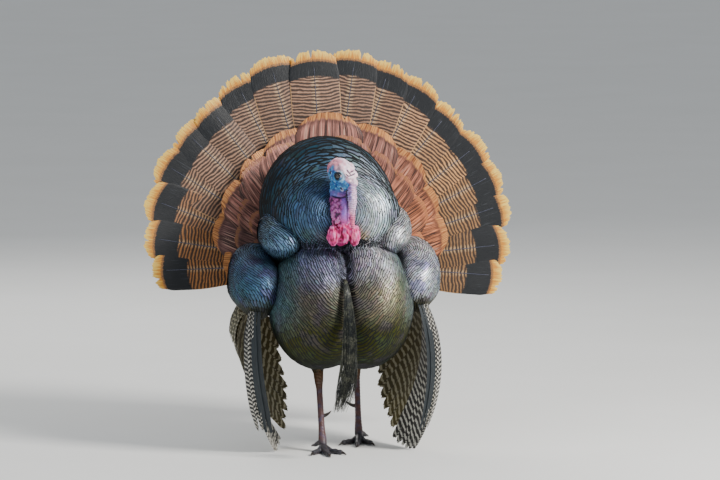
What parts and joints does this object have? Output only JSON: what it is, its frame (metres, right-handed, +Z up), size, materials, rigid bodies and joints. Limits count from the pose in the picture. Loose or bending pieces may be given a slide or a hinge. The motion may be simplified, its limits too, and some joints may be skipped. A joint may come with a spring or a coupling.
{
  "type": "wild turkey gobbler model",
  "caption": "Life-size still model of a male wild turkey in full strut: tail fanned, wings lowered to the ground, head drawn back.",
  "frame": {"origin": "on the floor under the middle of the model's box", "axes": "+Z up, -Y where the bird faces, +X the bird's left"},
  "size_m": [0.7534, 0.4688, 0.7948],
  "materials": {
    "bare_skin": "bare wrinkled skin, pink-white crown, blue face, purple-red neck",
    "caruncle": "moist wrinkled red and pink flesh",
    "bill_horn": "pale horn, satin",
    "eye": "dark brown, wet and glossy",
    "body_plumage": "overlapping feathers, bronze, green and silver-blue sheen with black edges",
    "covert_vane": "maroon-copper feathers with tan edges",
    "tail_vane": "chestnut feathers barred with black, black band and buff tips",
    "flight_vane": "blackish feathers barred with white",
    "beard_bristle": "coarse black bristles",
    "leg_scales": "scaled pinkish-purple leg",
    "claw_horn": "dark horn"
  },
  "bodies": {
    "root": {"beard": "beard_bristle", "bill_lower": "bill_horn", "bill_upper": "bill_horn", "breast": "body_plumage", "claw_left_hind": "claw_horn", "claw_left_inner": "claw_horn", "claw_left_middle": "claw_horn", "claw_left_outer": "claw_horn", "claw_right_hind": "claw_horn", "claw_right_inner": "claw_horn", "claw_right_middle": "claw_horn", "claw_right_outer": "claw_horn", "crop": "body_plumage", "eye_left": "eye", "eye_right": "eye", "foot_left": "leg_scales", "foot_right": "leg_scales", "head": "bare_skin", "mantle": "body_plumage", "neck": "bare_skin", "rump": "body_plumage", "shank_left": "leg_scales", "shank_right": "leg_scales", "snood": "caruncle", "spur_left": "claw_horn", "spur_right": "claw_horn", "tail_coverts": "covert_vane", "tail_feathers": "tail_vane", "thigh_left": "body_plumage", "thigh_right": "body_plumage", "undertail": "covert_vane", "wattle": "caruncle", "wing_left_arm": "body_plumage", "wing_left_primaries": "flight_vane", "wing_left_secondaries": "flight_vane", "wing_left_shoulder": "body_plumage", "wing_right_arm": "body_plumage", "wing_right_primaries": "flight_vane", "wing_right_secondaries": "flight_vane", "wing_right_shoulder": "body_plumage"}
  },
  "joints": []
}
